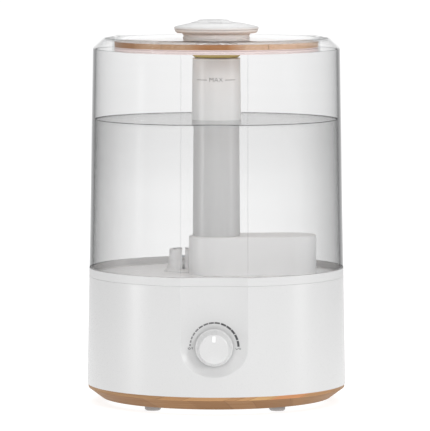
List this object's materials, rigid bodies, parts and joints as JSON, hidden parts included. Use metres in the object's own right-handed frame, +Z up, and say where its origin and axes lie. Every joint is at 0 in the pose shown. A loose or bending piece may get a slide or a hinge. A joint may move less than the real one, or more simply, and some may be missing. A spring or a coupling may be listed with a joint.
{
  "type": "cool mist humidifier",
  "caption": "Round top-fill ultrasonic cool mist humidifier: clear lift-off tank with a fluted front on a white base, mist dial, central mist tube, bamboo rings and a swivel nozzle.",
  "frame": {"origin": "on the tank's axis, at the level of the surface that the feet stand on", "axes": "+Z up along the tank axis, -Y toward the dial at the front, +X to the right as seen from the front"},
  "size_m": [0.2068, 0.2159, 0.3062],
  "materials": {
    "white_plastic": "satin moulded",
    "frosted_plastic": "satin, slightly translucent",
    "clear_plastic": "polished clear",
    "clear_ring": "translucent",
    "bamboo": "oiled bamboo",
    "tan_plastic": "polished",
    "pointer_white": "inlay",
    "foot_rubber": "matt",
    "silicone": "matt",
    "screw_steel": "plated",
    "piezo_metal": "lapped",
    "cast_aluminium": "cast",
    "float_plastic": "satin",
    "magnet": "sintered",
    "board_green": "solder mask",
    "black_plastic": "moulded",
    "capacitor_sleeve": "sleeved",
    "connector_nylon": "moulded",
    "copper": "enamelled wire",
    "foam": "open foam",
    "lead_black": "insulated",
    "lead_red": "insulated"
  },
  "bodies": {
    "base": {"base_shell": "white_plastic", "plinth_wood_ring": "bamboo", "bottom_cover": "white_plastic", "rubber_feet": "foot_rubber", "cover_screws": "screw_steel", "water_basin": "white_plastic", "mist_well": "white_plastic", "basin_posts": "white_plastic", "air_tower": "white_plastic", "piezo_disc": "piezo_metal", "piezo_seal": "silicone", "piezo_clamp": "cast_aluminium", "clamp_screws": "screw_steel", "float_cap": "float_plastic", "level_sensor": "board_green", "driver_board": "board_green", "board_screws": "screw_steel", "board_heatsink": "cast_aluminium", "board_capacitors": "capacitor_sleeve", "board_inductor": "black_plastic", "inductor_winding": "copper", "board_connectors": "connector_nylon", "fan_frame": "black_plastic", "fan_screws": "screw_steel", "fan_stator": "copper", "air_duct": "black_plastic", "intake_filter": "foam", "potentiometer": "black_plastic", "pot_nut": "screw_steel", "dc_inlet": "black_plastic", "inlet_leads": "lead_black", "dial_leads": "lead_red", "piezo_leads": "lead_red", "fan_leads": "lead_black", "sensor_leads": "lead_red"},
    "fan": {"fan_rotor": "black_plastic"},
    "float": {"float_body": "float_plastic", "float_magnet": "magnet"},
    "dial": {"knob": "white_plastic", "knob_pointer": "pointer_white", "dial_shaft": "screw_steel"},
    "tank": {"tank_floor": "white_plastic", "tank_wall": "clear_plastic", "mist_chamber": "white_plastic", "mist_tube": "frosted_plastic", "mist_sleeve": "frosted_plastic", "valve_cage": "white_plastic", "valve_cap": "white_plastic", "valve_spring": "screw_steel"},
    "valve": {"valve_plunger": "float_plastic", "valve_seal": "silicone"},
    "lid": {"lid_cover": "clear_plastic", "lid_wood_disc": "bamboo", "lid_retaining_ring": "clear_ring", "nozzle_collar": "white_plastic", "collar_nut": "tan_plastic"},
    "nozzle": {"nozzle_base": "white_plastic", "nozzle_cap": "white_plastic", "nozzle_hood": "white_plastic"}
  },
  "joints": [
    {"name": "tank_lift", "type": "slide", "parent": "base", "child": "tank", "axis": [0, 0, 1], "range_m": [0, 0.12]},
    {"name": "lid_lift", "type": "slide", "parent": "tank", "child": "lid", "axis": [0, 0, 1], "range_m": [0, 0.08]},
    {"name": "nozzle_swivel", "type": "hinge", "parent": "lid", "child": "nozzle", "pos_m": [0, 0, 0.295], "axis": [0, 0, 1], "continuous": true},
    {"name": "knob_turn", "type": "hinge", "parent": "base", "child": "dial", "pos_m": [0, -0.0953, 0.0534], "axis": [0, 1, 0], "range_deg": [-90, 90]},
    {"name": "float_rise", "type": "slide", "parent": "base", "child": "float", "axis": [0, 0, 1], "range_m": [0, 0.008]},
    {"name": "fan_spin", "type": "hinge", "parent": "base", "child": "fan", "pos_m": [0.056, 0.008, 0.0275], "axis": [0, 0, 1], "continuous": true},
    {"name": "valve_close", "type": "slide", "parent": "tank", "child": "valve", "axis": [0, 0, 1], "range_m": [-0.003, 0], "deforming": ["valve_spring"]}
  ],
  "couplings": [
    {"joint": "valve_close", "follows": "tank_lift", "ratio": -0.025}
  ]
}
